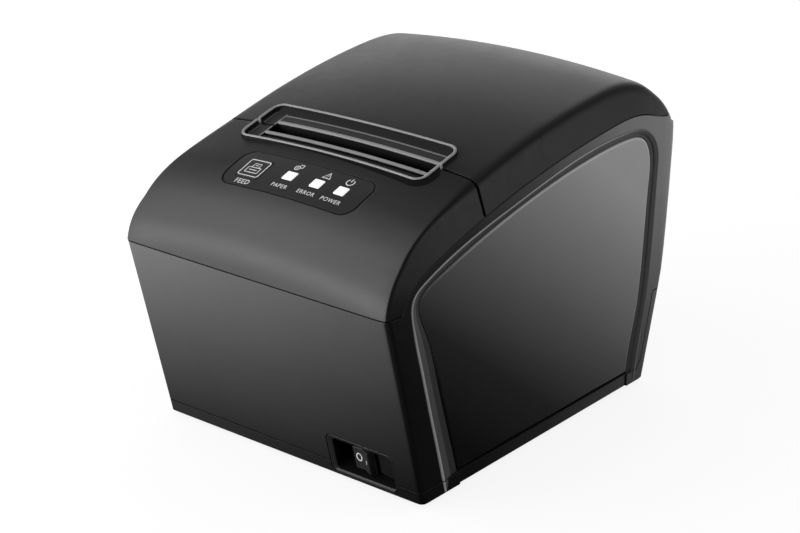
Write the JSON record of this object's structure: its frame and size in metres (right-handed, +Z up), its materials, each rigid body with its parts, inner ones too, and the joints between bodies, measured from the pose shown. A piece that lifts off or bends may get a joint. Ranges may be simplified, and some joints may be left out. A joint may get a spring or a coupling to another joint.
{
  "type": "receipt printer",
  "caption": "Desktop thermal receipt printer with a hinged paper cover, front control panel, paper slot with cutter, and glossy side panels.",
  "frame": {"origin": "centre of the rectangular footprint, on the plane of the rubber feet", "axes": "+Z up, -Y towards the front with the control panel and power switch, +X to the right seen from the front"},
  "size_m": [0.141, 0.1924, 0.1413],
  "materials": {
    "black_plastic": "fine satin moulded ABS, near black",
    "cover_plastic": "satin moulded ABS, charcoal black",
    "gloss_panel": "polished black plastic",
    "trim_grey": "satin mid-grey painted plastic with bright edges",
    "label_film": "satin printed film",
    "white_lens": "milky white light guide",
    "circuit_board": "green solder mask",
    "steel": "ground steel",
    "zinc_plate": "zinc-plated pressed sheet",
    "head_aluminium": "plain extruded aluminium",
    "rubber": "ground matt rubber",
    "nylon": "natural acetal",
    "flat_cable": "white flexible flat cable"
  },
  "bodies": {
    "chassis": {"base_tray": "black_plastic", "main_housing": "black_plastic", "front_cover": "cover_plastic", "side_trim_left": "trim_grey", "side_trim_right": "trim_grey", "side_panel_left": "gloss_panel", "side_panel_right": "gloss_panel", "slot_rim_front": "trim_grey", "tear_bar": "steel", "control_panel_label": "label_film", "paper_led_lens": "white_lens", "error_led_lens": "white_lens", "power_led_lens": "white_lens", "control_board": "circuit_board", "feed_switch": "black_plastic", "switch_pocket": "black_plastic", "power_switch_body": "black_plastic", "mechanism_frame": "zinc_plate", "idler_stud": "steel", "feed_motor": "zinc_plate", "head_pivot_shaft": "steel", "head_spring_left": "steel", "head_spring_right": "steel", "cutter_frame": "zinc_plate", "cutter_motor": "zinc_plate", "hinge_pin_left": "steel", "hinge_pin_right": "steel", "paper_bay": "black_plastic", "paper_end_sensor": "black_plastic", "main_board": "circuit_board", "power_socket": "black_plastic", "usb_socket": "zinc_plate", "lan_socket": "zinc_plate", "serial_socket": "zinc_plate", "drawer_socket": "black_plastic", "head_cable": "flat_cable", "rubber_foot_1": "rubber", "rubber_foot_2": "rubber", "rubber_foot_3": "rubber", "rubber_foot_4": "rubber"},
    "top_cover": {"top_cover": "cover_plastic", "slot_rim_rear": "trim_grey", "platen_bracket": "zinc_plate", "platen_bush_left": "nylon", "platen_bush_right": "nylon", "bracket_screw_left": "steel", "bracket_screw_right": "steel", "fixed_cutter_blade": "steel"},
    "platen": {"platen_shaft": "steel", "platen_rubber": "rubber", "platen_gear": "nylon"},
    "idler": {"idler_gear": "nylon"},
    "pinion": {"motor_pinion": "steel"},
    "print_head": {"print_head": "head_aluminium"},
    "cutter_blade": {"cutter_blade": "steel"},
    "cutter_crank": {"cutter_crank_gear": "nylon"},
    "cutter_pinion": {"cutter_pinion": "steel"},
    "feed_button": {"feed_button": "black_plastic"},
    "power_rocker": {"power_rocker": "black_plastic"}
  },
  "joints": [
    {"name": "cover_hinge", "type": "hinge", "parent": "chassis", "child": "top_cover", "pos_m": [0, 0.09215, 0.1172], "axis": [-1, 0, 0], "range_deg": [0, 90]},
    {"name": "platen_spin", "type": "hinge", "parent": "top_cover", "child": "platen", "pos_m": [0, -0.02785, 0.102], "axis": [1, 0, 0], "continuous": true},
    {"name": "idler_spin", "type": "hinge", "parent": "chassis", "child": "idler", "pos_m": [-0.052, -0.02522, 0.08127], "axis": [1, 0, 0], "continuous": true},
    {"name": "motor_spin", "type": "hinge", "parent": "chassis", "child": "pinion", "pos_m": [-0.052, -0.03407, 0.06594], "axis": [1, 0, 0], "continuous": true},
    {"name": "head_tilt", "type": "hinge", "parent": "chassis", "child": "print_head", "pos_m": [0, -0.03975, 0.0875], "axis": [1, 0, 0], "range_deg": [0, 3]},
    {"name": "blade_slide", "type": "slide", "parent": "chassis", "child": "cutter_blade", "axis": [0, 1, 0], "range_m": [0, 0.008]},
    {"name": "crank_turn", "type": "hinge", "parent": "chassis", "child": "cutter_crank", "pos_m": [0.025, -0.04625, 0.112], "axis": [0, 0, 1], "range_deg": [0, 180]},
    {"name": "cutter_pinion_turn", "type": "hinge", "parent": "chassis", "child": "cutter_pinion", "pos_m": [0.025, -0.05715, 0.112], "axis": [0, 0, 1], "range_deg": [-360, 0]},
    {"name": "feed_press", "type": "slide", "parent": "chassis", "child": "feed_button", "axis": [0.0399, 0.3168, -0.9476], "range_m": [0, 0.0006]},
    {"name": "power_rock", "type": "hinge", "parent": "chassis", "child": "power_rocker", "pos_m": [0.0392, -0.07426, 0.01232], "axis": [0, -0.2219, 0.9751], "range_deg": [0, 20]}
  ],
  "couplings": [
    {"joint": "idler_spin", "follows": "platen_spin", "ratio": -0.625},
    {"joint": "motor_spin", "follows": "platen_spin", "ratio": 1.6667},
    {"joint": "crank_turn", "follows": "blade_slide", "rad_per_m": 392.5},
    {"joint": "cutter_pinion_turn", "follows": "blade_slide", "rad_per_m": -785}
  ]
}
